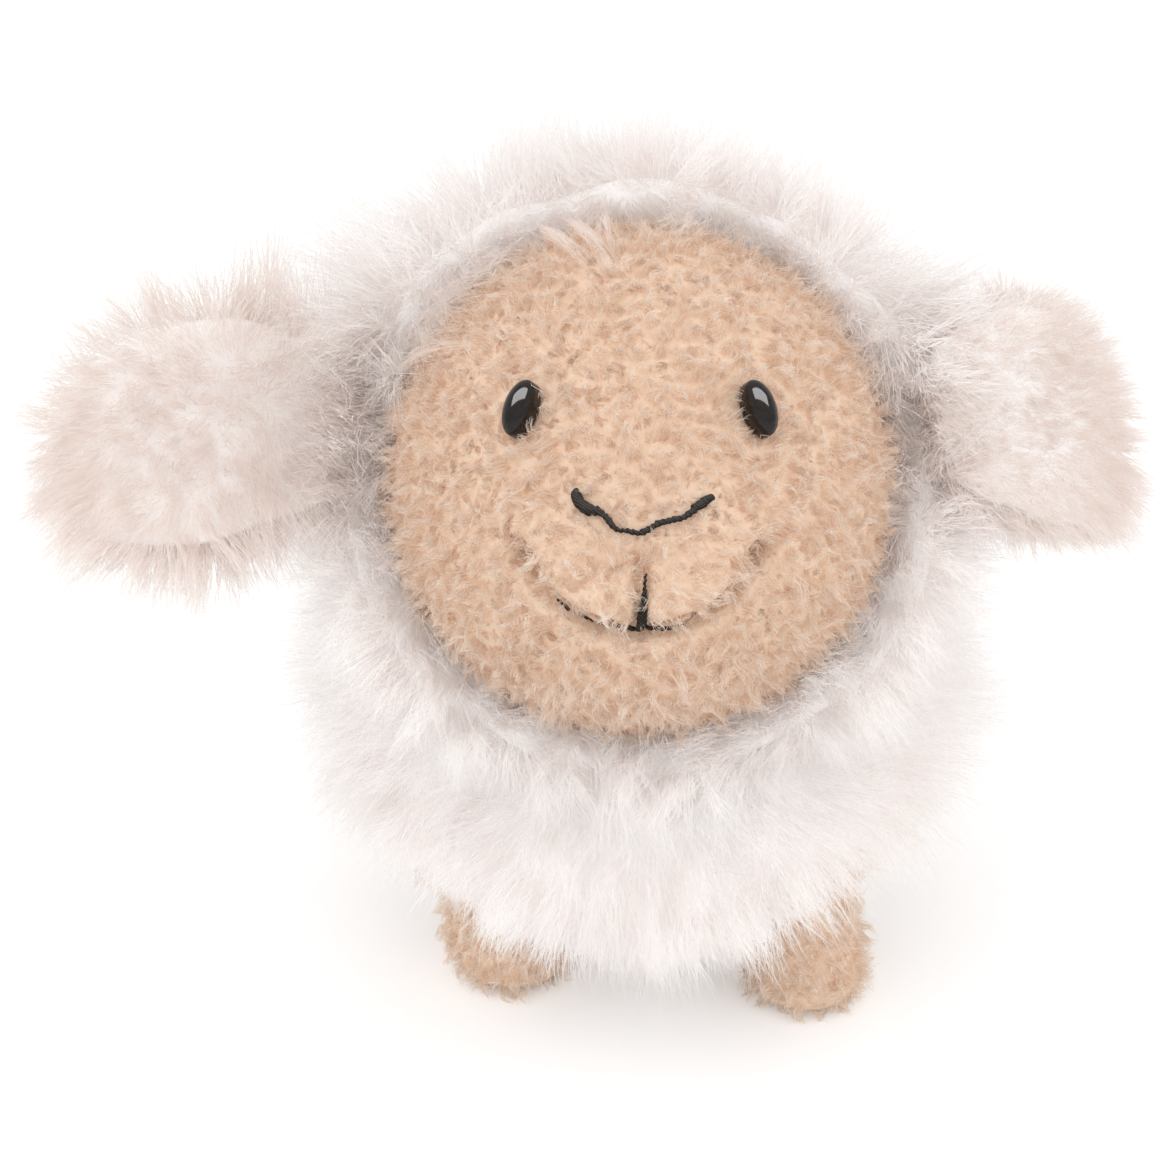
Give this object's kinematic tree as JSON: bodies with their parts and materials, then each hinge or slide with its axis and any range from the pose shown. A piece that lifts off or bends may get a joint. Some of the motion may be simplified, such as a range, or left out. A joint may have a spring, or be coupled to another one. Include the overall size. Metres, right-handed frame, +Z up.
{
  "type": "plush sheep",
  "caption": "Standing plush sheep with a round body, a round head in a long-pile hood, short-pile face and legs, broad leaf ears, oval eyes and a small tail; head, ears, legs and tail move.",
  "frame": {"origin": "on the floor under the middle of the bounding box of the standing sheep", "axes": "+Z up, -Y the way the face looks, +X towards the sheep's own left side; -Z is the way the soles face"},
  "size_m": [0.1986, 0.202, 0.1904],
  "materials": {
    "long_pile": "cream brushed long-pile plush, soft and matte",
    "short_pile": "beige curly short-pile plush with paler tips, matte",
    "ear_pile": "cream clipped plush, matte",
    "filling": "white polyester fibre filling",
    "eye_plastic": "near-black domed plastic, highly polished",
    "washer_plastic": "plain off-white plastic",
    "thread": "black embroidery thread with a faint sheen"
  },
  "bodies": {
    "body": {"body_cover": "long_pile", "body_stuffing": "filling"},
    "neck": {"neck_seam": "long_pile"},
    "head": {"hood_cover": "long_pile", "face_panel": "short_pile", "chin_panel": "short_pile", "head_stuffing": "filling", "nose_stitch": "thread", "philtrum_stitch": "thread", "mouth_stitch": "thread", "eye_right": "eye_plastic", "eye_right_washer": "washer_plastic", "eye_left": "eye_plastic", "eye_left_washer": "washer_plastic"},
    "ear_right": {"ear_right_back": "long_pile", "ear_right_lining": "ear_pile"},
    "ear_left": {"ear_left_back": "long_pile", "ear_left_lining": "ear_pile"},
    "tail": {"tail_cover": "long_pile", "tail_stuffing": "filling"},
    "leg_front_right": {"leg_front_right_cover": "short_pile", "leg_front_right_stuffing": "filling", "leg_front_right_sole": "short_pile"},
    "leg_front_left": {"leg_front_left_cover": "short_pile", "leg_front_left_stuffing": "filling", "leg_front_left_sole": "short_pile"},
    "leg_rear_right": {"leg_rear_right_cover": "short_pile", "leg_rear_right_stuffing": "filling", "leg_rear_right_sole": "short_pile"},
    "leg_rear_left": {"leg_rear_left_cover": "short_pile", "leg_rear_left_stuffing": "filling", "leg_rear_left_sole": "short_pile"}
  },
  "joints": [
    {"name": "head_turn", "type": "hinge", "parent": "body", "child": "neck", "pos_m": [0.00794, -0.04512, 0.13396], "axis": [0, -0.5446, 0.8387], "range_deg": [-20, 20], "stiffness_Nm_per_rad": 0.15},
    {"name": "head_nod", "type": "hinge", "parent": "neck", "child": "head", "pos_m": [0.00794, -0.04512, 0.13396], "axis": [1, 0, 0], "range_deg": [-12, 15], "stiffness_Nm_per_rad": 0.2},
    {"name": "ear_right_fold", "type": "hinge", "parent": "head", "child": "ear_right", "pos_m": [-0.05014, -0.04053, 0.14192], "axis": [-0.1564, -0.4938, -0.8554], "range_deg": [-45, 55], "stiffness_Nm_per_rad": 0.01},
    {"name": "ear_left_fold", "type": "hinge", "parent": "head", "child": "ear_left", "pos_m": [0.06566, -0.03951, 0.14367], "axis": [-0.1908, 0.4908, 0.8501], "range_deg": [-87, 13], "stiffness_Nm_per_rad": 0.01},
    {"name": "tail_lift", "type": "hinge", "parent": "body", "child": "tail", "pos_m": [0.00794, 0.07276, 0.075], "axis": [1, 0, 0], "range_deg": [-5, 45], "stiffness_Nm_per_rad": 0.01},
    {"name": "leg_front_right_swing", "type": "hinge", "parent": "body", "child": "leg_front_right", "pos_m": [-0.02506, -0.01504, 0.0338], "axis": [1, 0, 0], "range_deg": [-20, 20], "stiffness_Nm_per_rad": 0.25},
    {"name": "leg_front_left_swing", "type": "hinge", "parent": "body", "child": "leg_front_left", "pos_m": [0.04094, -0.01504, 0.0338], "axis": [1, 0, 0], "range_deg": [-20, 20], "stiffness_Nm_per_rad": 0.25},
    {"name": "leg_rear_right_swing", "type": "hinge", "parent": "body", "child": "leg_rear_right", "pos_m": [-0.02306, 0.04496, 0.03931], "axis": [1, 0, 0], "range_deg": [-20, 20], "stiffness_Nm_per_rad": 0.25},
    {"name": "leg_rear_left_swing", "type": "hinge", "parent": "body", "child": "leg_rear_left", "pos_m": [0.03894, 0.04496, 0.03931], "axis": [1, 0, 0], "range_deg": [-20, 20], "stiffness_Nm_per_rad": 0.25}
  ]
}
